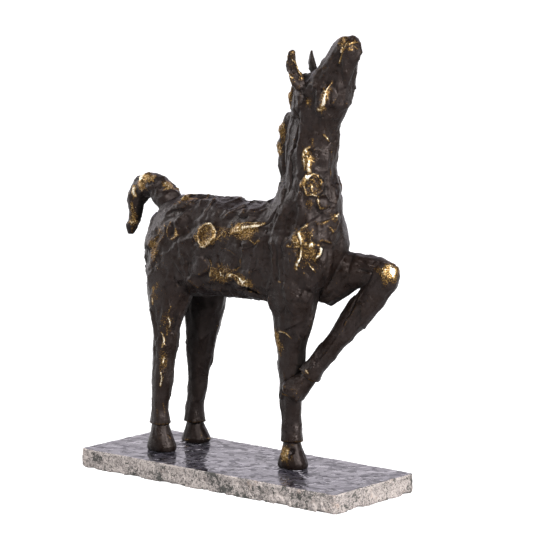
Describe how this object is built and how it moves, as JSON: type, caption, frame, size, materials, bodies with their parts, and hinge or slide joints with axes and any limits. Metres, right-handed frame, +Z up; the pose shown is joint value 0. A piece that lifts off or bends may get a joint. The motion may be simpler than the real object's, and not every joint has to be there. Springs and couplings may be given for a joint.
{
  "type": "cast bronze horse sculpture on a stone slab",
  "caption": "Cast bronze horse with its head thrown up, tail arched and one foreleg lifted, standing on a rough-edged polished granite slab.",
  "frame": {"origin": "centre of the slab's underside", "axes": "+X the way the horse faces, +Y its left side, +Z up"},
  "size_m": [0.3441, 0.1314, 0.4632],
  "materials": {
    "bronze": "dark brown-black patina over cast bronze, rubbed to gold on ridges, pats and edges",
    "granite": "speckled grey granite, polished dark on top, split rough round its edges"
  },
  "bodies": {
    "root": {"cast_horse": "bronze", "granite_slab": "granite"}
  },
  "joints": []
}
